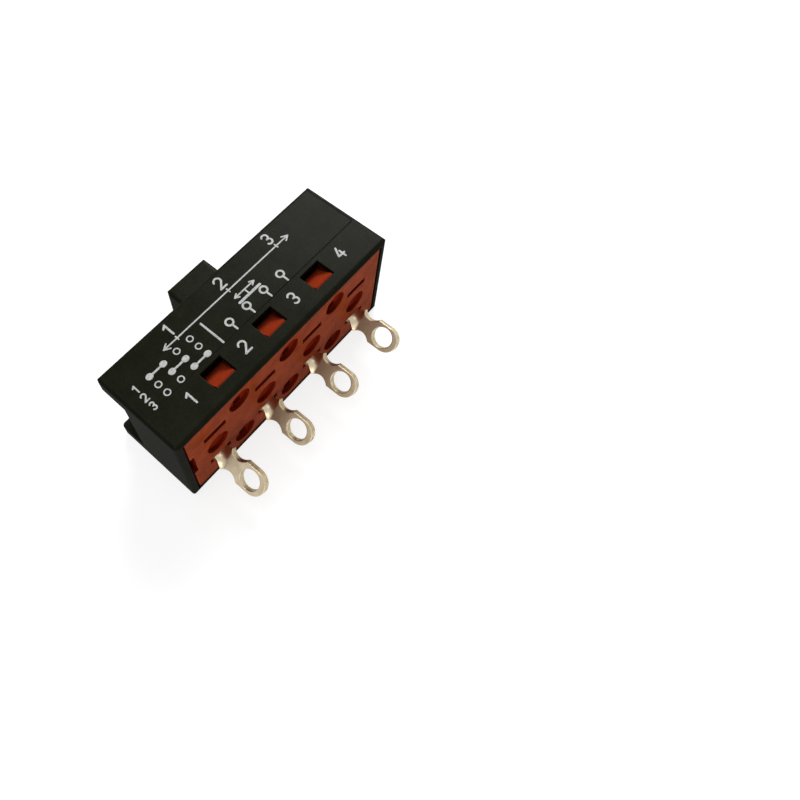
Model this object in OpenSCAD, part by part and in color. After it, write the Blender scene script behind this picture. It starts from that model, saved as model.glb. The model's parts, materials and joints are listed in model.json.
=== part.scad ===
// Three-position slide switch of the kind used in a hair dryer.
// The part lies on its plain long side: X runs along the body, +Y points to
// the knob, -Y to the solder tags, and +Z out of the printed side.

/* [Housing] */
// Length of the body
body_l = 31; // [28:0.5:36]
// Height of the body, from the terminal face to the knob face
body_h = 11; // [10.5:0.25:13]
// Width of the body, from the plain side to the printed side
body_w = 13.8; // [13.4:0.1:16]
// Radius of the housing's outer edges
edge_r = 0.45; // [0.2:0.05:0.5]
// Thickness of the two end walls
end_wall = 0.8; // [0.6:0.1:1.2]
// Thickness of the side walls around the terminal base
side_wall = 0.6; // [0.55:0.05:0.8]
// Thickness of the ears beside the slider's channel
ear_t = 1.95; // [1.6:0.05:2.1]
// Thickness of the wall that the knob comes through
top_wall = 0.95; // [0.7:0.05:1.2]
// Height of the end walls above the terminal face
end_wall_h = 7.4; // [7:0.1:7.8]
// How far the top wall stops short of each end
end_notch = 1.6; // [1.2:0.1:2]
// Height of the mould's witness line above the terminal face
witness_h = 4.25; // [4:0.05:4.6]
// Width of the witness line
witness_w = 0.08; // [0.05:0.01:0.15]
// Depth of the witness line
witness_d = 0.05; // [0.03:0.01:0.1]

/* [Windows and snap lugs] */
// Length of a window along the body
window_l = 2.8; // [2.4:0.1:3.4]
// Height of a window
window_h = 2.3; // [2.1:0.05:2.4]
// Height of a window's lower edge above the terminal face
window_low = 1.5; // [1.3:0.05:1.5]
// Gap left at each end of a snap lug in its window
lug_gap = 0.17; // [0.1:0.01:0.3]
// Depth of a lug's crest below the housing's side
lug_sunk = 0.1; // [0.05:0.05:0.3]
// Depth of a lug's ramp below the housing's side where it leaves the base
ramp_deep = 1.7; // [1.2:0.1:1.8]
// Width of the clearance slot at each end of a snap lug
lug_slot = 0.4; // [0.3:0.05:0.5]

/* [Terminal base] */
// Height of the base's inner face above the terminal face
base_h = 3.9; // [3.9:0.05:4.1]
// How deep the base sits behind the housing's rim
base_sunk = 0.1; // [0.05:0.05:0.2]
// Gap between the base and each end wall
base_end_gap = 0.25; // [0.15:0.05:0.3]
// Diameter of the round recesses
recess_d = 2.9; // [2.5:0.1:3.1]
// Depth of the round recesses
recess_deep = 0.5; // [0.3:0.1:1]
// Distance of the outer recess rows from the base's long edges
recess_inset = 2.2; // [2.05:0.05:2.35]
// Side of the square pocket in each outer recess
pocket_w = 1; // [0.8:0.1:1.2]
// Depth of the square pocket below the recess floor
pocket_deep = 1; // [0.8:0.1:1.6]
// Length of the key notch in the base's end edge
key_l = 3.8; // [3:0.1:4.5]
// Depth of the key notch, measured along the body
key_d = 0.5; // [0.3:0.1:0.7]
// Height of the barrier ribs between the terminals
rib_h = 1; // [0.7:0.05:1.1]
// Thickness of the barrier ribs
rib_t = 0.8; // [0.6:0.1:1]
// Height of the detent ridges
ridge_h = 0.35; // [0.25:0.05:0.4]
// Width of a detent ridge at its foot
ridge_w = 1.8; // [1.4:0.1:1.9]

/* [Terminals] */
// Distance of the first and the last terminal from the body's ends
tag_inset = 4.625; // [4.4:0.025:5]
// Distance of the terminal row from the plain side
row_inset = 3.75; // [3.7:0.05:3.9]
// Distance of the empty slits from the printed side
slit_inset = 4.15; // [4:0.05:4.3]
// Thickness of the terminal strip
tab_t = 0.75; // [0.6:0.05:0.8]
// Width of the strip where it passes through the base
tab_w = 2.9; // [2.6:0.1:3]
// Width of the lock neck, where the strip is twisted at the terminal face
lock_w = 1.8; // [1.5:0.1:2]
// Distance of the strip's shoulder from the terminal face
tag_shoulder = 0.9; // [0.7:0.05:1]
// Width of the neck at its narrowest
neck_w = 1.8; // [1.5:0.1:2]
// Angle by which the eyelet is twisted to lock the terminal
twist = 49; // [30:1:60]
// Diameter of the eyelet's hole
eyelet_d = 2.4; // [1.8:0.1:2.4]
// Width of the eyelet across its two flats
eyelet_w = 3; // [2.9:0.05:3.2]
// Reach of the eyelet's round tip beyond the middle of its hole
eyelet_tip = 1.88; // [1.8:0.02:2]
// Distance of the eyelet's hole from the terminal face
eyelet_reach = 4.25; // [4:0.05:5]
// Distance of the eyelet's shoulder from its hole
shoulder = 1.25; // [1.2:0.05:1.3]
// Length of the contact pad folded onto the base
pad_l = 2.5; // [2.4:0.05:2.6]
// Clearance of the terminal in its slot, on each side
slot_gap = 0.05; // [0.03:0.01:0.08]

/* [Contacts] */
// Diameter of the contact faces
contact_d = 2.2; // [1.8:0.1:2.3]
// Height of the contact faces
contact_h = 0.5; // [0.4:0.05:0.55]
// Diameter of the contacts' rivet shanks
rivet_d = 1.2; // [0.8:0.1:1.4]
// Thickness of the contact bridge
bridge_t = 0.6; // [0.5:0.05:0.7]
// Width of the contact bridge
bridge_w = 2.4; // [2.3:0.1:2.5]
// Gap left between pieces that press on each other
touch_gap = 0.03; // [0.02:0.01:0.04]

/* [Slider] */
// Length of the knob along the body
knob_l = 5.8; // [5:0.1:6.2]
// Width of the knob
knob_w = 5.5; // [4.8:0.1:5.8]
// Height of the knob above the housing
knob_h = 4.4; // [3:0.1:6]
// Radius of the knob's edges
knob_r = 0.45; // [0.2:0.05:0.5]
// Thickness of the slider's plate
plate_t = 1.45; // [1.3:0.05:1.5]
// How far the plate stays inside the body's end at full travel
plate_inset = 0.15; // [0.1:0.05:0.4]
// Running clearance of the slider in the housing
run_gap = 0.1; // [0.08:0.01:0.15]
// Thickness of the walls that carry the contact bridge
cheek_t = 0.9; // [0.7:0.1:1]

/* [Detent and springs] */
// Diameter of the detent ball
ball_d = 2.4; // [2.2:0.1:2.4]
// Wall of the ball's guide
guide_t = 0.5; // [0.4:0.05:0.55]
// Clearance around the ball and the contact bridge
guide_gap = 0.06; // [0.05:0.01:0.08]
// Wire of the two coil springs
wire_d = 0.3; // [0.2:0.05:0.35]
// Outside diameter of the two coil springs
spring_d = 2.1; // [1.9:0.05:2.15]
// Turns of the contact spring
contact_turns = 3; // [2:0.5:3.5]
// Turns of the detent spring
detent_turns = 3; // [2:0.5:3.5]

/* [Hidden] */
$fn = 48;
over = 1;
fuse = 0.05;

housing_black = [0.13, 0.13, 0.12];
base_red = [0.54, 0.22, 0.13];
tag_silver = [0.78, 0.74, 0.66];
contact_silver = [0.85, 0.85, 0.83];
copper = [0.72, 0.45, 0.28];
spring_steel = [0.6, 0.61, 0.63];

// Planes across the height of the body
face_y = -body_h / 2;
top_y = body_h / 2;
roof_y = top_y - top_wall;
base_y = face_y + base_h;
seat_y = base_y + slot_gap;
plate_top = roof_y - run_gap;
plate_y = plate_top - plate_t;
pad_y = base_y + tab_t;
fixed_y = pad_y + contact_h;
bridge_y = fixed_y + touch_gap + contact_h;
bridge_top = bridge_y + bridge_t;

// Planes across the width of the body
mid_z = body_w / 2;
row_z = row_inset;
detent_z = body_w - slit_inset;
contact_z = row_z - tab_t / 2 + pad_l - contact_d / 2 - fuse;
channel_w = body_w - 2 * ear_t;
base_w = body_w - 2 * side_wall - 2 * slot_gap;
recess_z = [mid_z - base_w / 2 + recess_inset, mid_z + base_w / 2 - recess_inset];
pocket_in = sqrt(recess_d * recess_d - pocket_w * pocket_w) / 2 - pocket_w / 2 - fuse;
pocket_z = [for (z = recess_z) z - pocket_in];

// Section of a snap lug, in its place on the printed side
lug_low = face_y + window_low + slot_gap;
lug_foot = mid_z + base_w / 2 - fuse;
lug_crest = body_w - lug_sunk;
lug_bevel = (lug_crest - lug_foot) / 3;
ramp_start = lug_low + lug_bevel;
lug_high = (ramp_start + base_y) / 2;

// Lengths along the body: the slider moves one terminal spacing each way
pitch = (body_l - 2 * tag_inset) / 3;
travel = pitch;
bay_l = body_l - 2 * end_wall;
base_l = bay_l - 2 * base_end_gap;
plate_l = body_l - 2 * travel - 2 * plate_inset;
bridge_l = pitch + contact_d + 2 * fuse;
tag_x = [for (i = [-1.5 : 1 : 1.5]) i * pitch];
gap_x = [for (i = [-1 : 1]) i * pitch];
ridge_x = tag_x;

// Stations along the twisted strip, measured outward from the terminal face
lock_in = 0.7;
twist_end = tag_shoulder + 0.2;
neck_end = eyelet_reach - shoulder;
neck_steps = 12;
stations = concat(
    [for (i = [0 : neck_steps]) -lock_in + (tag_shoulder + lock_in) * i / neck_steps],
    [for (i = [1 : neck_steps]) tag_shoulder + (neck_end - tag_shoulder) * i / neck_steps],
    [neck_end + fuse]);

// Extrudes an outline in (x, z) along Y, from y0 to y1
module prism_y(y0, y1) {
    translate([0, y1, 0]) rotate([90, 0, 0]) linear_extrude(y1 - y0) children();
}

// Extrudes an outline in (y, z) along X, from x0 to x1
module prism_x(x0, x1) {
    translate([x0, 0, 0]) rotate([90, 0, 90]) linear_extrude(x1 - x0) children();
}

// Box centred on x and z, from y0 to y1
module bar(x, y0, y1, z, l, w) {
    translate([x - l / 2, y0, z - w / 2]) cube([l, y1 - y0, w]);
}

// Cylinder along Y, from y0 to y1
module rod(x, y0, y1, z, d) {
    translate([x, y0, z]) rotate([-90, 0, 0]) cylinder(d = d, h = y1 - y0);
}

module rounded_rect(l, w, r) {
    square([l - 2 * r, w], center = true);
    square([l, w - 2 * r], center = true);
    for (x = [-1, 1], y = [-1, 1])
        translate([x * (l / 2 - r), y * (w / 2 - r)]) circle(r = r, $fn = 32);
}

// Box with every edge rounded, from y0 to y1 and z0 up
module soft_box(l, y0, y1, z0, w, r) {
    mid = (y0 + y1) / 2;
    intersection() {
        translate([0, mid, z0]) linear_extrude(w) rounded_rect(l, y1 - y0, r);
        prism_y(y0, y1) translate([0, z0 + w / 2]) rounded_rect(l, w, r);
        prism_x(-l / 2, l / 2) translate([mid, z0 + w / 2]) rounded_rect(y1 - y0, w, r);
    }
}

// Repeats a shape on the printed side and, turned about Y, on the plain side
module both_sides() {
    for (a = [0, 180])
        translate([0, 0, mid_z]) rotate([0, a, 0]) translate([0, 0, -mid_z]) children();
}

// Coil spring along Y: a round wire on a helix, from y0 to y1
module coil(x, y0, y1, z, turns) {
    steps = 16 * turns;
    sides = 8;
    mean_r = (spring_d - wire_d) / 2;
    rise = y1 - y0 - wire_d;
    points = [for (i = [0 : steps], s = [0 : sides - 1])
        let (a = 360 * turns * i / steps,
             b = 360 * s / sides,
             r = mean_r + wire_d / 2 * cos(b))
        [x + r * cos(a), y0 + wire_d / 2 + rise * i / steps + wire_d / 2 * sin(b), z - r * sin(a)]];
    skin = [for (i = [0 : steps - 1], s = [0 : sides - 1], half = [0, 1])
        let (a = i * sides + s,
             b = i * sides + (s + 1) % sides)
        half == 0 ? [a, b, b + sides] : [a, b + sides, a + sides]];
    first = [for (s = [0 : sides - 1]) sides - 1 - s];
    last = [for (s = [0 : sides - 1]) steps * sides + s];
    polyhedron(points = points, faces = concat(skin, [first], [last]));
}

module housing() {
    color(housing_black) difference() {
        soft_box(body_l, face_y, top_y, 0, body_w, edge_r);
        bar(0, face_y - over, seat_y, mid_z, bay_l, body_w - 2 * side_wall);
        bar(0, seat_y - fuse, roof_y, mid_z, bay_l, channel_w);
        knob_slot();
        for (s = [-1, 1])
            bar(s * (body_l / 2 + over - (end_notch + over) / 2), face_y + end_wall_h, top_y + over,
                mid_z, end_notch + over, channel_w);
        both_sides() windows();
        both_sides() witness_line();
    }
}

module knob_slot() {
    bar(0, roof_y - fuse, top_y + over, mid_z,
        knob_l + 2 * travel + 2 * run_gap, knob_w + 2 * run_gap);
}

module windows() {
    for (x = gap_x)
        bar(x, face_y + window_low, face_y + window_low + window_h,
            body_w - side_wall / 2 + over / 2, window_l, side_wall + over + 2 * fuse);
}

// Line left by the mould: along the side, then up one end to the knob face
module witness_line() {
    turn_x = body_l / 2 - end_wall * 0.6;
    low_y = face_y + witness_h;
    translate([-body_l / 2 - over, low_y, body_w - witness_d])
        cube([turn_x + body_l / 2 + over, witness_w, over]);
    translate([turn_x - witness_w, low_y, body_w - witness_d])
        cube([witness_w, body_h, over]);
}

module terminal_base() {
    color(base_red) difference() {
        union() {
            prism_y(face_y + base_sunk, base_y)
                translate([0, mid_z]) rounded_rect(base_l, base_w, edge_r);
            both_sides() snap_lugs();
            barrier_ribs();
            detent_ridges();
        }
        both_sides() lug_ramps();
        for (x = tag_x)
            bar(x, face_y - over, base_y + over, row_z, tab_w + 2 * slot_gap, tab_t + 2 * slot_gap);
        spare_slits();
        recesses();
        key_notch();
    }
}

// Lugs that snap into the windows, with a bevelled crest near the terminal face
module snap_lugs() {
    for (x = gap_x)
        prism_x(x - window_l / 2 + lug_gap, x + window_l / 2 - lug_gap)
            polygon([[lug_low, lug_foot], [lug_low, lug_crest - lug_bevel / 2], [ramp_start, lug_crest],
                     [lug_high, lug_crest], [lug_high, lug_foot]]);
}

// Cuts that slope each lug from its crest down to the base's inner face, with a slot at each of its ends
module lug_ramps() {
    fall = (ramp_deep - lug_sunk) / (base_y - ramp_start);
    end = base_y + fuse;
    half = window_l / 2 - lug_gap;
    for (x = gap_x) {
        prism_x(x - half - lug_slot / 2, x + half + lug_slot / 2)
            polygon([[ramp_start, lug_crest], [end, lug_crest - fall * (end - ramp_start)],
                     [end, lug_crest + over], [ramp_start, lug_crest + over]]);
        for (side = [-1, 1])
            bar(x + side * (half + lug_slot / 2), lug_low, end, body_w - ramp_deep / 2, lug_slot, ramp_deep);
    }
}

module barrier_ribs() {
    for (x = gap_x)
        bar(x, base_y - fuse, base_y + rib_h, (row_z + contact_z) / 2, rib_t, 2 * contact_d);
}

// Low ridges that the detent ball clicks over
module detent_ridges() {
    for (x = ridge_x)
        translate([x, base_y, detent_z - ball_d / 2]) linear_extrude(ball_d)
            polygon([[-ridge_w / 2, 0], [-ridge_w / 2, -fuse], [ridge_w / 2, -fuse], [ridge_w / 2, 0], [0, ridge_h]]);
}

// Blind slits where the terminals of a second pole would go
module spare_slits() {
    for (x = tag_x)
        bar(x, face_y - over, face_y + base_h * 2 / 3, detent_z, tab_w + 2 * slot_gap, tab_t + 2 * slot_gap);
}

module recesses() {
    floor_y = face_y + base_sunk + recess_deep;
    for (x = tag_x)
        rod(x, face_y - over, floor_y, (row_z + detent_z) / 2, recess_d);
    for (x = gap_x, s = [0, 1]) {
        rod(x, face_y - over, floor_y, recess_z[s], recess_d);
        bar(x, floor_y - fuse, floor_y + pocket_deep, pocket_z[s], pocket_w, pocket_w);
    }
}

module key_notch() {
    translate([-base_l / 2 - over, face_y - over, mid_z - key_l / 2])
        cube([key_d + over, over + base_h * 2 / 3, key_l]);
}

// Terminal: a strip folded onto the base inside, twisted into an eyelet outside
module terminal(x) {
    color(tag_silver) {
        difference() {
            union() {
                bar(x, face_y + lock_in - fuse, pad_y, row_z, tab_w, tab_t);
                translate([x - tab_w / 2, base_y, row_z - tab_t / 2]) cube([tab_w, tab_t, pad_l]);
                twisted_neck(x);
                eyelet(x);
            }
            rod(x, base_y - fuse, pad_y + fuse, contact_z, rivet_d);
        }
    }
}

module eyelet(x) {
    translate([x, face_y - eyelet_reach, row_z]) rotate([0, -twist, 0])
        linear_extrude(tab_t, center = true) difference() {
            hull() {
                translate([0, eyelet_w / 2 - eyelet_tip]) circle(d = eyelet_w);
                translate([-eyelet_w / 2, 0]) square([eyelet_w, shoulder]);
            }
            circle(d = eyelet_d);
        }
}

// Half width of a strip scooped by a parabola from half width a to half width b, at a part of the way
function scoop(part, a, b, narrow) =
    let (full = a + (b - a) * part)
    full - (full - narrow / 2) * 4 * part * (1 - part);

// Half width of the strip at a distance out from the terminal face: lock neck, shoulder, neck
function strip_hw(out) =
    out < tag_shoulder
        ? scoop((out + lock_in) / (tag_shoulder + lock_in), tab_w / 2, tab_w / 2, lock_w)
        : scoop((out - tag_shoulder) / (neck_end - tag_shoulder), tab_w / 2, eyelet_w / 2, neck_w);

// Part of the twist done at a distance out from the terminal face
function twist_part(out) = min(1, max(0, (out + base_sunk) / (twist_end + base_sunk)));

// Strip from the slot to the eyelet: a flat section with scooped sides, twisted as it leaves the base
module twisted_neck(x) {
    t = tab_t - fuse / 2;
    last = len(stations) - 1;
    points = [for (out = stations, c = [[-1, -1], [1, -1], [1, 1], [-1, 1]])
        let (hw = strip_hw(min(out, neck_end)) - fuse / 4,
             a = twist * twist_part(out),
             u = c[0] * hw,
             w = c[1] * t / 2)
        [x + u * cos(a) - w * sin(a), face_y - out, row_z + u * sin(a) + w * cos(a)]];
    skin = [for (i = [0 : last - 1], c = [0 : 3], half = [0, 1])
        let (a = 4 * i + c,
             b = 4 * i + (c + 1) % 4)
        half == 0 ? [a, a + 4, b + 4] : [a, b + 4, b]];
    polyhedron(points = points, faces = concat(skin, [[0, 1, 2, 3]], [[for (c = [3 : -1 : 0]) 4 * last + c]]));
}

module terminal_1() { terminal(tag_x[0]); }
module terminal_2() { terminal(tag_x[1]); }
module terminal_3() { terminal(tag_x[2]); }
module terminal_4() { terminal(tag_x[3]); }

// Contact rivet set in a terminal's pad
module fixed_contact(x) {
    color(contact_silver) {
        rod(x, pad_y, fixed_y, contact_z, contact_d);
        rod(x, base_y, pad_y + fuse, contact_z, rivet_d);
    }
}

module fixed_contact_1() { fixed_contact(tag_x[0]); }
module fixed_contact_2() { fixed_contact(tag_x[1]); }
module fixed_contact_3() { fixed_contact(tag_x[2]); }
module fixed_contact_4() { fixed_contact(tag_x[3]); }

// Plate that joins two neighbouring terminals
module contact_bridge() {
    color(copper) difference() {
        prism_y(bridge_y, bridge_top)
            translate([0, contact_z]) rounded_rect(bridge_l, bridge_w, edge_r);
        for (s = [-1, 1])
            rod(s * pitch / 2, bridge_y - over, bridge_top + over, contact_z, rivet_d);
    }
}

module bridge_contact(side) {
    color(contact_silver) {
        rod(side * pitch / 2, bridge_y - contact_h, bridge_y, contact_z, contact_d);
        rod(side * pitch / 2, bridge_y - fuse, bridge_top, contact_z, rivet_d);
    }
}

module bridge_contact_1() { bridge_contact(-1); }
module bridge_contact_2() { bridge_contact(1); }

module contact_spring() {
    color(spring_steel) coil(0, bridge_top + touch_gap, plate_y - touch_gap, contact_z, contact_turns);
}

module detent_ball() {
    color(spring_steel) translate([0, base_y + touch_gap + ball_d / 2, detent_z]) sphere(d = ball_d);
}

module detent_spring() {
    color(spring_steel)
        coil(0, base_y + 2 * touch_gap + ball_d, plate_y - touch_gap, detent_z, detent_turns);
}

// Knob, plate, bridge carrier and ball guide, moulded in one
module slider() {
    bore_d = ball_d + 2 * guide_gap;
    room_l = bridge_l + 2 * guide_gap;
    room_w = bridge_w + 2 * guide_gap;
    color(housing_black) {
        soft_box(knob_l, plate_y, top_y + knob_h, mid_z - knob_w / 2, knob_w, knob_r);
        prism_y(plate_y, plate_top)
            translate([0, mid_z]) rounded_rect(plate_l, channel_w - 2 * run_gap, 2 * knob_r);
        difference() {
            union() {
                bar(0, bridge_y + touch_gap, plate_y + fuse, contact_z, room_l + 2 * cheek_t, room_w + 2 * cheek_t);
                rod(0, base_y + 2 * ridge_h, plate_y + fuse, detent_z, bore_d + 2 * guide_t);
            }
            bar(0, face_y, plate_y, contact_z, room_l, room_w);
            rod(0, face_y, plate_y, detent_z, bore_d);
        }
        spring_peg();
    }
}

module spring_peg() {
    rod(0, bridge_top + 2 * wire_d, plate_y + fuse, contact_z, spring_d - 2 * wire_d - 2 * guide_gap);
}

housing();
terminal_base();
slider();
terminal_1();
terminal_2();
terminal_3();
terminal_4();
fixed_contact_1();
fixed_contact_2();
fixed_contact_3();
fixed_contact_4();
contact_bridge();
bridge_contact_1();
bridge_contact_2();
contact_spring();
detent_ball();
detent_spring();
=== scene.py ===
"""Looks of a three-position slide switch: black housing and knob, red terminal base, plated eyelets."""

import json
import math

import bmesh
import bpy
import numpy as np
from mathutils import Euler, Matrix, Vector


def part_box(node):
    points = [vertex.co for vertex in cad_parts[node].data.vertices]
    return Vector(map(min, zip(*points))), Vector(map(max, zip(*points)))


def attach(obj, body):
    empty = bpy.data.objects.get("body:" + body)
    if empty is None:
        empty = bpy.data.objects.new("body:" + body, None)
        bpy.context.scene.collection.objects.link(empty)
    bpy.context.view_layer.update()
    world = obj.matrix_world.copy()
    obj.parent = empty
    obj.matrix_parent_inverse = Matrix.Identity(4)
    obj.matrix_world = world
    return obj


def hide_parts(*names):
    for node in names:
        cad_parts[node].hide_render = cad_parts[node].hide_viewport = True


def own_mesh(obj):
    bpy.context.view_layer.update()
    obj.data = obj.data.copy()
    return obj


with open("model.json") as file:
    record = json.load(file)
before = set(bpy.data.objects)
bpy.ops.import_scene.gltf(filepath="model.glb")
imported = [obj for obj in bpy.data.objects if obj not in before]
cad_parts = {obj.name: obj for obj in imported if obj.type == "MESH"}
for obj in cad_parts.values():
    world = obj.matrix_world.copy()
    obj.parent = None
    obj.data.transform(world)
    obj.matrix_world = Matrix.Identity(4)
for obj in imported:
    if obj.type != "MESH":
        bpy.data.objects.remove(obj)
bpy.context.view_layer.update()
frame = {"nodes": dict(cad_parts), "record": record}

MM = 0.001

housing_low, housing_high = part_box("housing")
FACE_Y = housing_low.y
BASE_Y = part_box("terminal_base")[0].y
PRINT_Z = housing_high.z
mounts = {m["name"]: m for m in frame["record"]["mounts"]}


# Helpers that put arrays into meshes

MERGE_REACH = 1e-7
SLIVER_REACH = 1e-8


def put_mesh(name, points, quads, body, materials, finish):
    """Makes a piece from arrays of points and quads, merges the rows that meet, and rides it on a body.

    The array finish says which of the materials each quad takes."""
    mesh = bpy.data.meshes.new(name)
    for material in materials:
        mesh.materials.append(material)
    mesh.from_pydata(points.tolist(), [], quads.tolist())
    mesh.polygons.foreach_set("material_index", finish)
    mesh.validate()
    piece = bpy.data.objects.new(name, mesh)
    bpy.context.scene.collection.objects.link(piece)
    close_seams(mesh)
    mesh.shade_smooth()
    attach(piece, body)
    return piece


def close_seams(mesh):
    """Merges points that lie on each other and turns every face outward."""
    shape = bmesh.new()
    shape.from_mesh(mesh)
    bmesh.ops.remove_doubles(shape, verts=shape.verts, dist=MERGE_REACH)
    bmesh.ops.dissolve_degenerate(shape, edges=shape.edges, dist=SLIVER_REACH)
    bmesh.ops.recalc_face_normals(shape, faces=shape.faces)
    shape.to_mesh(mesh)
    shape.free()


def grid_quads(rows, columns, start=0, closed=False):
    """Quads between neighbouring points of a grid stored row by row.

    A closed grid's last column is joined to its first."""
    index = start + np.arange(rows * columns).reshape(rows, columns)
    if closed:
        index = np.concatenate([index, index[:, :1]], axis=1)
    corners = [index[:-1, :-1], index[1:, :-1], index[1:, 1:], index[:-1, 1:]]
    return np.stack([c.ravel() for c in corners], axis=1)


# Nodes that the materials share

NOISE_SPAN = (0.3, 0.7)
BEVEL_SAMPLES = 6
MIX_SHARE = 0
MIX_FIRST = 6
MIX_SECOND = 7
MIX_RESULT = 2


def new_material(name):
    """A material, its node tree and its main shader."""
    material = bpy.data.materials.new(name)
    material.use_nodes = True
    tree = material.node_tree
    return material, tree, tree.nodes["Principled BSDF"]


def grey(level):
    """Colour with the same level in all three channels."""
    return (level, level, level)


def add(tree, kind, **inputs):
    """Adds a node and sets its named inputs."""
    node = tree.nodes.new(kind)
    for key, value in inputs.items():
        node.inputs[key.replace("_", " ")].default_value = value
    return node


def object_place(tree):
    """Place of a point in object coordinates."""
    return tree.nodes.new("ShaderNodeTexCoord").outputs["Object"]


def object_noise(tree, size_mm, detail=3.0, roughness=0.5, stretch=(1, 1, 1)):
    """Noise on object coordinates whose blotches are about size_mm across."""
    mapping = add(tree, "ShaderNodeMapping", Scale=stretch)
    scale = 1.0 / (size_mm * MM)
    noise = add(tree, "ShaderNodeTexNoise", Scale=scale, Detail=detail, Roughness=roughness)
    tree.links.new(object_place(tree), mapping.inputs["Vector"])
    tree.links.new(mapping.outputs["Vector"], noise.inputs["Vector"])
    return noise.outputs["Fac"]


def ramp(tree, source, low, high, at=NOISE_SPAN):
    """Turns a value into a colour between low and high."""
    node = tree.nodes.new("ShaderNodeValToRGB")
    for element, place, colour in zip(node.color_ramp.elements, at, (low, high)):
        element.position = place
        element.color = (*colour, 1)
    tree.links.new(source, node.inputs["Fac"])
    return node.outputs["Color"]


def map_range(tree, source, start, end, low=0.0, high=1.0, way="LINEAR"):
    """Carries the run of a value from start to end onto the run from low to high, and holds it beyond."""
    node = add(tree, "ShaderNodeMapRange", From_Min=start, From_Max=end, To_Min=low, To_Max=high)
    node.interpolation_type = way
    tree.links.new(source, node.inputs["Value"])
    return node.outputs["Result"]


def noise_range(tree, source, low, high):
    """Maps a noise value onto a span of numbers."""
    return map_range(tree, source, *NOISE_SPAN, low, high)


def calculate(tree, operation, first, second):
    """Result of an arithmetic operation on two values."""
    node = tree.nodes.new("ShaderNodeMath")
    node.operation = operation
    tree.links.new(first, node.inputs[0])
    tree.links.new(second, node.inputs[1])
    return node.outputs["Value"]


def blend_colours(tree, share, first, second, way="MIX"):
    """Blends two colours by a share; each of the three is a constant or another node's output."""
    node = tree.nodes.new("ShaderNodeMix")
    node.data_type = "RGBA"
    node.blend_type = way
    for value, socket in ((share, MIX_SHARE), (first, MIX_FIRST), (second, MIX_SECOND)):
        if isinstance(value, bpy.types.NodeSocket):
            tree.links.new(value, node.inputs[socket])
        else:
            node.inputs[socket].default_value = value
    return node.outputs[MIX_RESULT]


def multiply_colours(tree, first, second):
    """Product of two colours."""
    return blend_colours(tree, 1.0, first, second, "MULTIPLY")


def bump(tree, height, strength, distance_mm, under=None):
    """Normal roughened by a height, over the normal that lies under it."""
    node = add(tree, "ShaderNodeBump", Strength=strength, Distance=distance_mm * MM)
    tree.links.new(height, node.inputs["Height"])
    if under is not None:
        tree.links.new(under, node.inputs["Normal"])
    return node.outputs["Normal"]


def soft_edges(tree, radius_mm):
    """Normal that rounds the sharp edges of a moulding by a small radius."""
    node = add(tree, "ShaderNodeBevel", Radius=radius_mm * MM)
    node.samples = BEVEL_SAMPLES
    return node.outputs["Normal"]


def edge_mask(tree, radius_mm, reach):
    """One near an edge and nought on a flat: how far the rounded normal leans from the true one."""
    true = tree.nodes.new("ShaderNodeNewGeometry")
    dot = tree.nodes.new("ShaderNodeVectorMath")
    dot.operation = "DOT_PRODUCT"
    tree.links.new(soft_edges(tree, radius_mm), dot.inputs[0])
    tree.links.new(true.outputs["True Normal"], dot.inputs[1])
    return map_range(tree, dot.outputs["Value"], 1.0, reach)


def behind_face(tree, start_mm, end_mm):
    """Nought on the base's terminal face and one behind it, by a smooth step of the object's own depth; it
    places the painted shade.
    """
    split = tree.nodes.new("ShaderNodeSeparateXYZ")
    tree.links.new(object_place(tree), split.inputs["Vector"])
    start = BASE_Y + start_mm * MM
    end = BASE_Y + end_mm * MM
    return map_range(tree, split.outputs["Y"], start, end, way="SMOOTHSTEP")


# Materials

COAT_WEIGHT = 0.07
CLOUD_MM = 1.6
SPECK_LEVELS = (0.72, 1.32)
PALE_EDGE_REACH = 0.86
PLASTIC_ROUGHNESS = (0.55, 0.7)
PEBBLE_TO_GRAIN = 3
PEBBLE_STRENGTH = 0.15
SKIN_MM = 0.02


def moulded_plastic(name, dark, light, edge, coat_roughness, grain_mm, grain_strength, edge_mm, shade_tints=()):
    """Moulded plastic: cloudy tint, fine sparked grain on a pebbled skin, thin gloss, and paler edges that
    are partly wear and partly painted highlight.

    The tints behind the terminal face, as (start_mm, end_mm, colour), are painted shade that darkens the
    recesses, slits and windows behind the face."""
    material, tree, shader = new_material(name)
    shader.inputs["Specular IOR Level"].default_value = 0.0
    shader.inputs["Coat Weight"].default_value = COAT_WEIGHT
    shader.inputs["Coat Roughness"].default_value = coat_roughness
    clouds = object_noise(tree, CLOUD_MM, detail=4.0)
    grain = object_noise(tree, grain_mm, detail=2.0, roughness=0.6)
    speck = ramp(tree, grain, grey(SPECK_LEVELS[0]), grey(SPECK_LEVELS[1]))
    speckled = multiply_colours(tree, ramp(tree, clouds, dark, light), speck)
    # Paler edges: partly wear, partly painted highlight on the rounded edges.
    colour = blend_colours(tree, edge_mask(tree, edge_mm, PALE_EDGE_REACH), speckled, (*edge, 1))
    # Painted shade: each tint darkens the plastic behind the terminal face.
    for start_mm, end_mm, tint in shade_tints:
        shaded_colour = multiply_colours(tree, (*tint, 1), speck)
        colour = blend_colours(tree, behind_face(tree, start_mm, end_mm), colour, shaded_colour)
    tree.links.new(colour, shader.inputs["Base Color"])
    tree.links.new(noise_range(tree, clouds, *PLASTIC_ROUGHNESS), shader.inputs["Roughness"])
    pebbles = object_noise(tree, PEBBLE_TO_GRAIN * grain_mm, detail=2.0)
    pebbled = bump(tree, pebbles, PEBBLE_STRENGTH, SKIN_MM, soft_edges(tree, edge_mm))
    grained = bump(tree, grain, grain_strength, SKIN_MM, pebbled)
    tree.links.new(grained, shader.inputs["Normal"])
    tree.links.new(grained, shader.inputs["Coat Normal"])
    return material


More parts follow.
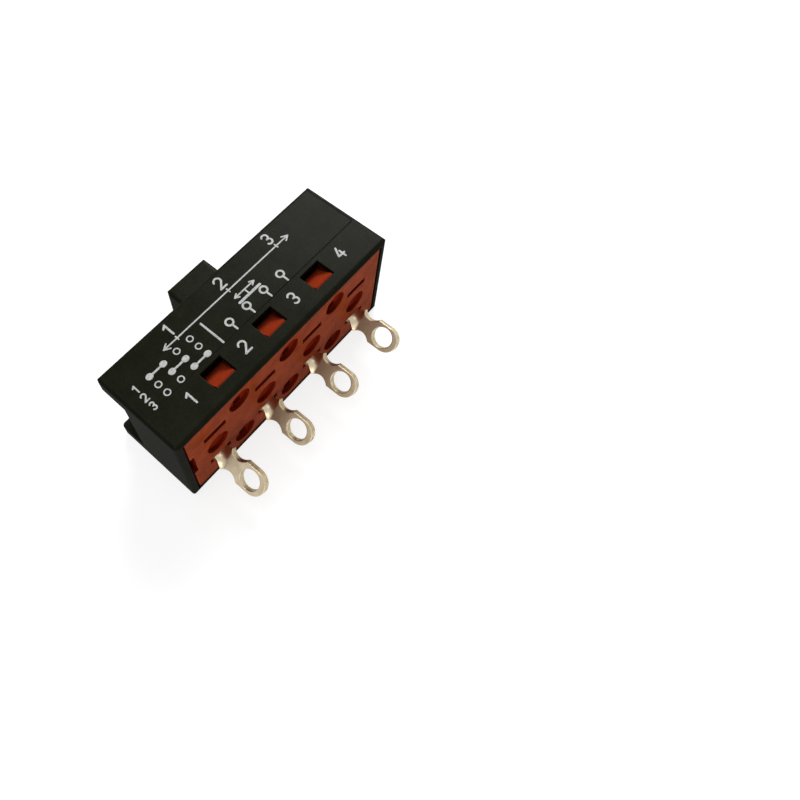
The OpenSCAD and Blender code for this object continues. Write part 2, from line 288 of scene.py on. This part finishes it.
def plated_strip():
    """Silver-plated brass: cloudy tarnish that lets the brass through, rolling lines, and bright rims that
    are partly wear and partly painted highlight.
    """
    material, tree, shader = new_material("plated_strip")
    clouds = object_noise(tree, size_mm=0.9, detail=5.0, roughness=0.6)
    lines = object_noise(tree, size_mm=0.12, detail=3.0, stretch=(1.0, 0.12, 1.0))
    tint = ramp(tree, clouds, low=(0.485, 0.388, 0.250), high=(0.60, 0.508, 0.374))
    shade = multiply_colours(tree, tint, ramp(tree, lines, low=grey(0.92), high=grey(1.05)))
    # Bright rims: partly wear, partly painted highlight.
    rims = edge_mask(tree, radius_mm=0.07, reach=0.8)
    rim_colour = (0.87, 0.84, 0.76, 1)
    rim_wear_and_highlight = blend_colours(tree, rims, shade, rim_colour)
    tree.links.new(rim_wear_and_highlight, shader.inputs["Base Color"])
    shader.inputs["Metallic"].default_value = 1.0
    tree.links.new(noise_range(tree, clouds, low=0.42, high=0.31), shader.inputs["Roughness"])
    return material


def sheared_brass():
    """Edge left by the punch: bare brass with fine shear lines across its thickness and dull smears."""
    material, tree, shader = new_material("sheared_brass")
    smears = object_noise(tree, size_mm=0.5, detail=4.0, roughness=0.6)
    lines = object_noise(tree, size_mm=0.07, detail=3.0, stretch=(0.6, 1.0, 0.2))
    tint = ramp(tree, smears, low=(0.36, 0.29, 0.16), high=(0.66, 0.57, 0.38), at=(0.3, 0.68))
    scratched = multiply_colours(tree, tint, ramp(tree, lines, low=grey(0.86), high=grey(1.1)))
    tree.links.new(scratched, shader.inputs["Base Color"])
    shader.inputs["Metallic"].default_value = 1.0
    tree.links.new(noise_range(tree, smears, low=0.5, high=0.36), shader.inputs["Roughness"])
    return material


def worked_metal(name, dull, bright, roughness, line_mm, stretch):
    """Plain metal with drawn or rolled lines and a little uneven dulling."""
    material, tree, shader = new_material(name)
    lines = object_noise(tree, line_mm, detail=3.0, stretch=stretch)
    clouds = object_noise(tree, size_mm=0.8, detail=3.0)
    tree.links.new(ramp(tree, clouds, dull, bright), shader.inputs["Base Color"])
    shader.inputs["Metallic"].default_value = 1.0
    tree.links.new(noise_range(tree, lines, *roughness), shader.inputs["Roughness"])
    drawn = bump(tree, lines, strength=0.2, distance_mm=0.008)
    tree.links.new(drawn, shader.inputs["Normal"])
    return material


def white_ink():
    """Pad-printed ink: chalky white, thin and a little patchy."""
    material, tree, shader = new_material("white_ink")
    patches = object_noise(tree, size_mm=0.18, detail=4.0, roughness=0.65)
    tint = ramp(tree, patches, low=(0.27, 0.28, 0.27), high=(0.50, 0.51, 0.50), at=(0.3, 0.55))
    tree.links.new(tint, shader.inputs["Base Color"])
    tree.links.new(noise_range(tree, patches, low=0.7, high=0.5), shader.inputs["Roughness"])
    uneven = bump(tree, patches, strength=0.2, distance_mm=0.01)
    tree.links.new(uneven, shader.inputs["Normal"])
    return material


# Terminals

TAB_W = 2.9 * MM
LOCK_W = 1.8 * MM
LOCK_IN = 0.7 * MM
TAG_SHOULDER = 0.9 * MM
TWIST_START = -0.1 * MM
TWIST_END = 1.1 * MM
NECK_W = 1.8 * MM
EYELET_W = 3.0 * MM
EYELET_TIP = 1.88 * MM
SHOULDER = 1.25 * MM
RING_JOIN = 1.7 * MM
PAD_MARGIN = 0.05 * MM
RIM_TOP = 0.07 * MM
RIM_UNDER = 0.05 * MM
FOLD_SHARE = 0.6

# Points along each stretch of a terminal's grids
RIM_STEPS = 5
FLAT_STEPS = 6
PAD_STEPS = 5
FOLD_STEPS = 12
TAB_STEPS = 8
LOCK_STEPS = 34
NECK_STEPS = 26
SHANK_STEPS = 12
SIDE_STEPS = 14
TIP_STEPS = 48
RING_STEPS = 6

TINY = 1e-18


def rim_height(inset, thickness, radius):
    """Half thickness at a distance inside the rim: a quarter circle of the rim's radius, then flat."""
    d = np.clip(inset, 0, radius)
    return thickness / 2 - radius + np.sqrt(np.maximum(radius ** 2 - (radius - d) ** 2, 0))


def rim_insets(radius, steps):
    """Distances from a rim at equal angles of its quarter circle."""
    return radius * (1 - np.cos(np.linspace(0, math.pi / 2, steps)))


def scoop(part, first, last, narrow):
    """Half width that a parabola scoops out of a straight run from one half width to another."""
    full = first + (last - first) * part
    return full - (full - narrow / 2) * 4 * part * (1 - part)


def strip_half_width(out, neck_end):
    """Half width along the strip: tab, lock neck at the face, shoulder, neck and the eyelet's flats."""
    lock = scoop((out + LOCK_IN) / (TAG_SHOULDER + LOCK_IN), TAB_W / 2, TAB_W / 2, LOCK_W)
    neck = scoop((out - TAG_SHOULDER) / (neck_end - TAG_SHOULDER), TAB_W / 2, EYELET_W / 2, NECK_W)
    stretches = [out < -LOCK_IN, out < TAG_SHOULDER, out < neck_end]
    return np.select(stretches, [TAB_W / 2, lock, neck], EYELET_W / 2)


def edge_distance(out, across, outline):
    """Distance of points from the nearest stretch of an outline given as (out, across) corners."""
    here = np.stack([out, across], axis=-1)[..., None, :]
    start = outline[:-1]
    run = outline[1:] - start
    length = np.maximum((run ** 2).sum(axis=-1), TINY)
    share = np.clip(((here - start) * run).sum(axis=-1) / length, 0, 1)
    return np.linalg.norm(here - start - share[..., None] * run, axis=-1).min(axis=-1)


def strip_frame(out, twist, pad_mid, bend, row_z):
    """Centre line, width direction and thickness direction along the strip.

    Outside the face the strip runs straight out and its section turns through the twist with the mean of a
    straight and a smooth step. Inside it runs back to the pad's plane and turns a quarter circle of radius
    bend into the pad, away from the plain side."""
    start = FACE_Y - (pad_mid - bend)
    angle_in = np.clip((start - out) / bend, 0, math.pi / 2)
    beyond = np.maximum(start - out - bend * math.pi / 2, 0)
    y = np.where(out > start, FACE_Y - out, pad_mid - bend + bend * np.sin(angle_in))
    z = row_z + bend * (1 - np.cos(angle_in)) + beyond
    part = np.clip((out - TWIST_START) / (TWIST_END - TWIST_START), 0, 1)
    turn = twist * (0.5 * part + 0.5 * part * part * (3 - 2 * part))
    width = np.stack([np.cos(turn), np.zeros_like(turn), np.sin(turn)], axis=-1)
    thick = np.stack([-np.sin(turn), -np.sin(angle_in), np.cos(turn) * np.cos(angle_in)], axis=-1)
    return np.stack([np.zeros_like(y), y, z], axis=-1), width, thick


def mirrored(side):
    """A side's (out, across) points on the strip's other side, in the opposite order."""
    return side[::-1] * np.array([1, -1])


def solder_terminal(name, mount, plating, edge):
    """Stamped strip with softened rims: pad, fold, tab, twisted lock neck, shoulder, neck and round eyelet.

    The middle surface is a grid along and across the strip, joined to a ring grid between the eyelet's hole
    and its outline. Each grid point gives an upper and an under point, raised by the rim's quarter circle at
    its distance from the nearest edge, and walls close the edges."""
    hole = Vector(mount["pos_m"])
    axis = mount["axis"]
    twist = math.atan2(-axis[0], axis[2])
    hole_r = mount["dims"]["r_mm"] * MM
    thickness = mount["dims"]["length_mm"] * MM
    reach = FACE_Y - hole.y
    neck_end = reach - SHOULDER
    join_out = reach - RING_JOIN
    pad_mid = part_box(name)[1].y - thickness / 2
    bend = FOLD_SHARE * thickness
    fold_out = FACE_Y - pad_mid + bend
    fold_end = fold_out - bend * math.pi / 2
    pad_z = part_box("fixed_" + name.replace("terminal", "contact"))[1].z + PAD_MARGIN
    pad_out = fold_end - (pad_z - hole.z - bend)
    rim = rim_insets(RIM_TOP, RIM_STEPS)

    # Grid of the strip, from the pad's free end to the ring
    along = np.concatenate([
        pad_out + rim,
        np.linspace(pad_out + 2 * RIM_TOP, fold_end, PAD_STEPS),
        np.linspace(fold_end, fold_out, FOLD_STEPS)[1:],
        np.linspace(fold_out, -LOCK_IN, TAB_STEPS)[1:],
        np.linspace(-LOCK_IN, TAG_SHOULDER, LOCK_STEPS)[1:],
        np.linspace(TAG_SHOULDER, join_out, NECK_STEPS)[1:]])
    half_w = strip_half_width(along, neck_end)
    inner = np.linspace(1, 0, FLAT_STEPS + 1)[1:]
    side = np.concatenate([1 - rim / (TAB_W / 2), inner * (1 - RIM_TOP / (TAB_W / 2))])
    share = np.concatenate([-side, side[::-1][1:]])
    strip_across = half_w[:, None] * share[None, :]
    strip_out = np.repeat(along[:, None], len(share), axis=1)

    # Outline of the eyelet from one side of the strip round the tip to the other side
    shank = np.linspace(join_out, neck_end, SHANK_STEPS)[1:]
    shank_side = np.stack([shank, strip_half_width(shank, neck_end)], axis=1)
    tip_r = EYELET_W / 2
    flat_out = reach + EYELET_TIP - tip_r
    flat_run = np.linspace(neck_end, flat_out, SIDE_STEPS)[1:]
    flat = np.stack([flat_run, np.full_like(flat_run, tip_r)], axis=1)
    tip_turn = np.linspace(math.pi / 2, -math.pi / 2, TIP_STEPS)[1:-1]
    tip = np.stack([flat_out + tip_r * np.cos(tip_turn), tip_r * np.sin(tip_turn)], axis=1)
    near = np.concatenate([shank_side, flat])
    loose = np.concatenate([near, tip, mirrored(near)])
    sides = np.stack([along, half_w], axis=1)
    outline = np.concatenate([sides, loose, mirrored(sides), sides[:1]])

    # Grid of the ring, on rays from the hole's middle to the strip's last row and to the outline
    last_row = np.stack([strip_out[-1], strip_across[-1]], axis=1)
    rays = np.concatenate([last_row, loose]) - np.array([reach, 0])
    far = np.linalg.norm(rays, axis=1)
    between = np.linspace(0, 1, RING_STEPS)[1:-1]
    rows = [np.full_like(far, hole_r + d) for d in rim]
    rows += [(hole_r + RIM_TOP) * (1 - f) + (far - RIM_TOP) * f for f in between]
    rows += [far - d for d in rim[::-1]]
    radius = np.stack(rows)
    ring_out = reach + radius * rays[:, 0] / far
    ring_across = radius * rays[:, 1] / far

    def section(out, across):
        """Upper and under points of the strip, lowered near its edges by the rims' quarter circles."""
        from_hole = np.hypot(out - reach, across) - hole_r
        inset = np.maximum(np.minimum(edge_distance(out, across, outline), from_hole), 0)
        centre, width, thick = strip_frame(out, twist, pad_mid, bend, hole.z)
        middle = centre + np.array([hole.x, 0, 0]) + width * across[..., None]
        upper = middle + thick * rim_height(inset, thickness, RIM_TOP)[..., None]
        under = middle - thick * rim_height(inset, thickness, RIM_UNDER)[..., None]
        return upper, under

    strip_up, strip_down = section(strip_out, strip_across)
    ring_up, ring_down = section(ring_out, ring_across)
    points, quads, finish = [], [], []

    def keep(rows_of_points, material, closed=False):
        """Adds a grid of points, its quads and their material to the lists."""
        start = sum(len(p) for p in points)
        quads.append(grid_quads(*rows_of_points.shape[:2], start, closed))
        points.append(rows_of_points.reshape(-1, 3))
        finish.append(np.full(len(quads[-1]), material))

    rolled, sheared = 0, 1
    keep(strip_up, rolled)
    keep(strip_down, rolled)
    keep(ring_up, rolled, closed=True)
    keep(ring_down, rolled, closed=True)
    for column in (0, -1):
        keep(np.stack([strip_up[:, column], strip_down[:, column]]), sheared)
    keep(np.stack([strip_up[0], strip_down[0]]), sheared)
    keep(np.stack([ring_up[0], ring_down[0]]), sheared, closed=True)
    rim_run = np.concatenate([np.arange(len(share) - 1, len(far)), [0]])
    keep(np.stack([ring_up[-1, rim_run], ring_down[-1, rim_run]]), sheared)

    piece = put_mesh("plated_" + name, np.concatenate(points), np.concatenate(quads),
                     "switch_body", [plating, edge], np.concatenate(finish))
    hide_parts(name)


# Springs

WIRE = 0.3 * MM
COIL_TURNS = 3
COIL_STEPS = 145
WIRE_SIDES = 14
END_CLOSING = 0.5


def coil_spring(node, material):
    """Coil of round wire that stands for a spring's solid.

    With a = 2 pi n t over n turns, the wire's middle is (x + r cos a, y + (length - wire) h, z - r sin a),
    where h = t - k sin(2 pi t) / (2 pi) closes the coils up toward both ends by the share k. Each section is
    a circle square to the wire, and a row of one point closes each cut end."""
    low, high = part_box(node)
    middle = (low + high) / 2
    length = high.y - low.y
    ring_r = (high.x - low.x - WIRE) / 2
    t = np.linspace(0, 1, COIL_STEPS)
    turn = 2 * math.pi * COIL_TURNS * t
    rise = t - END_CLOSING * np.sin(2 * math.pi * t) / (2 * math.pi)
    outward = np.stack([np.cos(turn), np.zeros_like(turn), -np.sin(turn)], axis=1)
    centre = np.array([middle.x, low.y + WIRE / 2, middle.z]) + ring_r * outward
    centre[:, 1] += (length - WIRE) * rise
    ahead = np.gradient(centre, axis=0)
    ahead /= np.linalg.norm(ahead, axis=1)[:, None]
    upward = np.cross(ahead, outward)
    round_turn = np.linspace(0, 2 * math.pi, WIRE_SIDES, endpoint=False)[:, None]
    section = outward[:, None, :] * np.cos(round_turn) + upward[:, None, :] * np.sin(round_turn)
    tube = centre[:, None, :] + WIRE / 2 * section
    first_cut = np.repeat(centre[None, :1], WIRE_SIDES, axis=1)
    last_cut = np.repeat(centre[None, -1:], WIRE_SIDES, axis=1)
    rows = np.concatenate([first_cut, tube, last_cut])
    quads = grid_quads(*rows.shape[:2], closed=True)
    piece = put_mesh("coil_" + node, rows.reshape(-1, 3), quads,
                     "slide_body", [material], np.zeros(len(quads), int))
    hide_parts(node)
    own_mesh(piece)


# Print

INK_HEIGHT = 0.012 * MM
INK_SUNK = 0.004 * MM
CAP_STEPS = 6
CROWN_SHARES = (-1, -0.8, -0.4, 0, 0.4, 0.8, 1)


def ink_stroke(path, width):
    """Flat stroke of ink along a path on the printed side, with round ends.

    The half width is constant and falls along a quarter circle past each end; the top is a low crown of the
    fourth power across the stroke, and one more column along its middle closes it below."""
    path = np.asarray(path, float)
    step = np.gradient(path, axis=0)
    step /= np.linalg.norm(step, axis=1)[:, None]
    cap = np.linspace(math.pi / 2, 0, CAP_STEPS)[:-1]
    before = path[0] - step[0] * (width / 2) * np.sin(cap)[:, None]
    after = path[-1] + step[-1] * (width / 2) * np.sin(cap[::-1])[:, None]
    centre = np.concatenate([before, path, after])
    first_step = np.repeat(step[:1], len(cap), 0)
    last_step = np.repeat(step[-1:], len(cap), 0)
    ahead = np.concatenate([first_step, step, last_step])
    half = np.concatenate([np.cos(cap), np.ones(len(path)), np.cos(cap[::-1])]) * width / 2
    left = np.stack([-ahead[:, 1], ahead[:, 0]], axis=1)
    crown = np.array(CROWN_SHARES)
    share = np.append(crown, 0)
    lift = np.append(INK_HEIGHT * (1 - crown ** 4) - INK_SUNK, -INK_SUNK)
    flat = centre[:, None, :] + left[:, None, :] * (half[:, None] * share[None, :])[..., None]
    height = np.broadcast_to(PRINT_Z + lift, flat.shape[:2])
    return np.concatenate([flat, height[..., None]], axis=2)


def line(start, end, steps=6):
    """Points at equal steps from start to end."""
    share = np.linspace(0, 1, steps)[:, None]
    return np.asarray(start) * (1 - share) + np.asarray(end) * share


def arc(centre, radius, start_deg, end_deg, steps=20):
    """Points at equal angles of a circle about centre."""
    turn = np.radians(np.linspace(start_deg, end_deg, steps))
    return np.asarray(centre) + np.stack([np.cos(turn), np.sin(turn)], axis=1) * radius


def digit(number, x, y, height):
    """Centre lines of a plain digit: straight runs and arcs placed by shares of its height."""
    h = height
    top = y + h / 2
    foot = y - h / 2
    if number == 1:
        stem = x + 0.08 * h
        return [line((stem, foot), (stem, top), steps=8),
                line((stem, top), (x - 0.17 * h, y + 0.3 * h))]
    if number == 2:
        r = 0.29 * h
        sweep = arc((x, top - r), r, 165, -35)
        return [np.concatenate([sweep, line(sweep[-1], (x - r, foot), steps=8)[1:]]),
                line((x - r, foot), (x + r, foot))]
    if number == 3:
        r = 0.25 * h
        middle = x - 0.02 * h
        return [arc((middle, top - r), r, 150, -90),
                arc((middle, foot + r), r, 90, -150)]
    bar = y - 0.2 * h
    stem = x + 0.14 * h
    return [np.concatenate([line((x + 0.1 * h, top), (x - 0.3 * h, bar)),
                            line((x - 0.3 * h, bar), (x + 0.3 * h, bar))[1:]]),
            line((stem, y + 0.12 * h), (stem, foot))]


# Places on the printed side are millimetres from the part's middle, and a stroke is a path with its width
BOLD = 0.25
THIN = 0.19
FINE = 0.16
BAR_W = 0.34
DOT_W = 0.8
DOT_RUN = 0.01
RING_POINTS = 28
CONTACT_POINTS = 30
PITCH_MM = (mounts["eyelet_2"]["pos_m"][0] - mounts["eyelet_1"]["pos_m"][0]) / MM


def digit_strokes(number, x, y, height, width):
    """A digit's lines as strokes of one width."""
    return [(path, width) for path in digit(number, x, y, height)]


def arrow_heads(middle_x, y, half_run, barb_run, barb_rise):
    """Two barbs at each end of a level line."""
    strokes = []
    for end in (-1, 1):
        tip = middle_x + end * half_run
        for rise in (-barb_rise, barb_rise):
            strokes.append((line((tip, y), (tip - end * barb_run, y + rise)), THIN))
    return strokes


def stop_scale():
    """Scale of the knob's three stops: a level line with arrow heads, ticks and digits."""
    y, tick, overrun = 2.75, 0.22, 1.8
    digit_rise, digit_height = 1.28, 1.36
    half_run = PITCH_MM + overrun
    strokes = []
    for stop in (-1, 0, 1):
        x = stop * PITCH_MM
        strokes += digit_strokes(stop + 2, x, y + digit_rise, digit_height, BOLD)
        strokes.append((line((x, y - tick), (x, y + tick)), THIN))
    strokes.append((line((-half_run, y), (half_run, y), steps=30), THIN))
    return strokes + arrow_heads(0, y, half_run, barb_run=0.6, barb_rise=0.35)


def joining_chart():
    """Chart of the terminals that each stop joins: a row of four dots for each stop, two of them joined."""
    first_x, top_y, row_step, dot_step = -11.9, 1.72, 1.22, 1.8
    digit_x, digit_height, ring_r = -13.7, 0.84, 0.32
    strokes = []
    for row in range(3):
        y = top_y - row * row_step
        strokes += digit_strokes(row + 1, digit_x, y, digit_height, THIN)
        for dot in range(4):
            x = first_x + dot * dot_step
            if dot in (row, row + 1):
                strokes.append((line((x - DOT_RUN, y), (x + DOT_RUN, y), steps=2), DOT_W))
            else:
                strokes.append((arc((x, y), ring_r, 90, 450, RING_POINTS), FINE))
        left = first_x + row * dot_step
        strokes.append((line((left, y), (left + dot_step, y)), BOLD))
    return strokes


def contact_diagram():
    """Plain diagram beside a dividing line: four contacts and the bar that slides both ways over them."""
    divider_x, divider_top, foot_y = -4.6, 2.1, -1.0
    first_x, contact_step, contact_y, contact_r = -2.6, 2.5, 0.1, 0.4
    stem_top = -0.32
    bar_y, bar_left, bar_right = 0.84, -0.3, 2.6
    slide_x, slide_y, slide_half = 1.15, 1.6, 1.4
    slide_left = slide_x - slide_half
    slide_right = slide_x + slide_half
    strokes = [(line((divider_x, foot_y), (divider_x, divider_top), steps=8), BOLD)]
    for contact in range(4):
        x = first_x + contact * contact_step
        strokes.append((arc((x, contact_y), contact_r, 90, 450, CONTACT_POINTS), BOLD))
        strokes.append((line((x, stem_top), (x, foot_y)), BOLD))
    strokes.append((line((bar_left, bar_y), (bar_right, bar_y), steps=8), BAR_W))
    strokes.append((line((slide_x, bar_y), (slide_x, slide_y)), THIN))
    strokes.append((line((slide_left, slide_y), (slide_right, slide_y), steps=8), THIN))
    return strokes + arrow_heads(slide_x, slide_y, slide_half, barb_run=0.45, barb_rise=0.26)


def terminal_numbers():
    """The terminals' numbers beside the windows, each in line with its terminal."""
    y, digit_height, middle = -2.85, 1.35, 1.5
    strokes = []
    for tag in range(4):
        strokes += digit_strokes(tag + 1, (tag - middle) * PITCH_MM, y, digit_height, BOLD)
    return strokes


def position_print(material):
    """All strokes of the printed side in one piece."""
    points, quads = [], []
    count = 0
    for path, width in stop_scale() + joining_chart() + contact_diagram() + terminal_numbers():
        stroke = ink_stroke(np.asarray(path) * MM, width * MM)
        quads.append(grid_quads(*stroke.shape[:2], count, closed=True))
        points.append(stroke.reshape(-1, 3))
        count += len(points[-1])
    quads = np.concatenate(quads)
    put_mesh("position_print", np.concatenate(points), quads,
             "switch_body", [material], np.zeros(len(quads), int))


# Dressing of the solids

def dress(node, material):
    """Gives a solid its only material."""
    mesh = frame["nodes"][node].data
    mesh.materials.clear()
    mesh.materials.append(material)


# Each moulding's edge colour is paler than its body: partly wear, partly painted highlight.
black = moulded_plastic(
    "black_moulding", dark=(0.0060, 0.0068, 0.0028), light=(0.0096, 0.0105, 0.0048),
    edge=(0.020, 0.021, 0.015), coat_roughness=0.28, grain_mm=0.14, grain_strength=0.6, edge_mm=0.12)
knob_black = moulded_plastic(
    "black_knob", dark=(0.0088, 0.0096, 0.0048), light=(0.0134, 0.0144, 0.0076),
    edge=(0.024, 0.025, 0.018), coat_roughness=0.28, grain_mm=0.15, grain_strength=0.6, edge_mm=0.12)
# The rust moulding's two tints behind the terminal face are painted shade in the recesses, slits and
# windows; the lugs deep in the windows get the second.
rust = moulded_plastic(
    "rust_moulding", dark=(0.270, 0.0420, 0.0105), light=(0.385, 0.0650, 0.0180),
    edge=(0.45, 0.105, 0.038), coat_roughness=0.26, grain_mm=0.12, grain_strength=0.25, edge_mm=0.08,
    shade_tints=((0.02, 0.12, (0.245, 0.0190, 0.0056)), (1.2, 1.4, (0.255, 0.0280, 0.0080))))
plated = plated_strip()
brass = sheared_brass()
silver = worked_metal("contact_face", dull=(0.70, 0.70, 0.68), bright=(0.86, 0.86, 0.84),
                      roughness=(0.25, 0.35), line_mm=0.1, stretch=(1, 1, 1))
copper = worked_metal("rolled_copper", dull=(0.55, 0.30, 0.17), bright=(0.72, 0.42, 0.26),
                      roughness=(0.25, 0.4), line_mm=0.1, stretch=(0.1, 1, 1))
steel = worked_metal("spring_wire", dull=(0.46, 0.47, 0.49), bright=(0.62, 0.63, 0.65),
                     roughness=(0.2, 0.32), line_mm=0.08, stretch=(1, 1, 1))
ink = white_ink()

dress("housing", black)
dress("slider", knob_black)
dress("terminal_base", rust)
for i in range(1, 5):
    dress(f"fixed_contact_{i}", silver)
    solder_terminal(f"terminal_{i}", mounts[f"eyelet_{i}"], plated, brass)
for i in (1, 2):
    dress(f"bridge_contact_{i}", silver)
dress("contact_bridge", copper)
dress("detent_ball", steel)
coil_spring("contact_spring", steel)
coil_spring("detent_spring", steel)
position_print(ink)


# Floor, light and camera, with the floor's lengths in metres

FLOOR_HALF = 0.4
FLOOR_UNSEEN = 0.85
FLOOR_SEEN = 0.35
GLOW_NEAR = 0.8
GLOW_FAR = 1.0
GLOW_START = 0.15
GLOW_END = 0.38
WORLD_UNSEEN = 0.15
LIT_PLACE_MM = (0, 0, 5)

# The photograph's view in the part's frame, solved from the outline, the windows and the eyelets' holes
PHOTO_SIDE = 800
CAMERA_PLACE_MM = (-24.566, -28.590, 76.467)
CAMERA_TURN_DEG = (29.755, 1.865, -48.054)
FOCAL_PX = 731.09
CENTRE_PX = (276.11, 318.45)
SENSOR_MM = 36.0
CLIP_NEAR = 1 * MM
CLIP_FAR = 20.0


def pale_floor():
    """Wide pale floor: white to the camera and in reflections, with the object's soft shadow left in.

    Its glow rises with the distance from the part, where the lamps reach less."""
    square = np.array([[-1, -1, 0], [1, -1, 0], [1, 1, 0], [-1, 1, 0]]) * FLOOR_HALF
    mesh = bpy.data.meshes.new("floor")
    mesh.from_pydata(square.tolist(), [], [[0, 1, 2, 3]])
    floor = bpy.data.objects.new("floor", mesh)
    bpy.context.scene.collection.objects.link(floor)
    material, tree, shader = new_material("pale_floor")
    shader.inputs["Roughness"].default_value = 1.0
    shader.inputs["Specular IOR Level"].default_value = 0.0
    shader.inputs["Emission Color"].default_value = (1, 1, 1, 1)
    seen = seen_rays(tree)
    colour = blend_colours(tree, seen, (*grey(FLOOR_UNSEEN), 1), (*grey(FLOOR_SEEN), 1))
    tree.links.new(colour, shader.inputs["Base Color"])
    distance = tree.nodes.new("ShaderNodeVectorMath")
    distance.operation = "LENGTH"
    tree.links.new(object_place(tree), distance.inputs[0])
    strength = map_range(tree, distance.outputs["Value"], GLOW_START, GLOW_END, GLOW_NEAR, GLOW_FAR)
    glow = calculate(tree, "MULTIPLY", seen, strength)
    tree.links.new(glow, shader.inputs["Emission Strength"])
    mesh.materials.append(material)


def seen_rays(tree):
    """One for rays that the camera, a reflection or a clear body sends, nought for diffuse light."""
    rays = tree.nodes.new("ShaderNodeLightPath").outputs
    camera_or_gloss = calculate(tree, "MAXIMUM", rays["Is Camera Ray"], rays["Is Glossy Ray"])
    return calculate(tree, "MAXIMUM", camera_or_gloss, rays["Is Transmission Ray"])


def studio_world():
    """Even pale surround: white where it is seen, softer as light."""
    world = bpy.data.worlds.new("studio")
    bpy.context.scene.world = world
    world.use_nodes = True
    tree = world.node_tree
    back = tree.nodes["Background"]
    back.inputs["Color"].default_value = (1, 1, 1, 1)
    strength = map_range(tree, seen_rays(tree), 0.0, 1.0, WORLD_UNSEEN, 1.0)
    tree.links.new(strength, back.inputs["Strength"])


def softbox(name, place_mm, side_mm, power):
    """Square lamp that faces the part's middle."""
    lamp = bpy.data.lights.new(name, "AREA")
    lamp.size = side_mm * MM
    lamp.energy = power
    box = bpy.data.objects.new(name, lamp)
    box.location = Vector(place_mm) * MM
    aim = Vector(LIT_PLACE_MM) * MM - box.location
    box.rotation_euler = aim.to_track_quat("-Z", "Y").to_euler()
    bpy.context.scene.collection.objects.link(box)


def photo_camera():
    """Camera at the photograph's place, with its focal length and picture centre in pixels of the frame."""
    lens = bpy.data.cameras.new("photo_camera")
    lens.sensor_width = SENSOR_MM
    lens.lens = FOCAL_PX / PHOTO_SIDE * SENSOR_MM
    lens.shift_x = (PHOTO_SIDE / 2 - CENTRE_PX[0]) / PHOTO_SIDE
    lens.shift_y = (CENTRE_PX[1] - PHOTO_SIDE / 2) / PHOTO_SIDE
    lens.clip_start = CLIP_NEAR
    lens.clip_end = CLIP_FAR
    camera = bpy.data.objects.new("photo_camera", lens)
    camera.location = Vector(CAMERA_PLACE_MM) * MM
    camera.rotation_euler = Euler([math.radians(a) for a in CAMERA_TURN_DEG])
    bpy.context.scene.collection.objects.link(camera)
    bpy.context.scene.camera = camera


pale_floor()
studio_world()
softbox("key_light", place_mm=(-60, 60, 400), side_mm=250, power=0.45)
softbox("back_light", place_mm=(250, 160, 270), side_mm=200, power=1.5)
softbox("front_light", place_mm=(-70, -80, 12), side_mm=60, power=0.03)
photo_camera()
bpy.context.scene.view_settings.view_transform = "Standard"
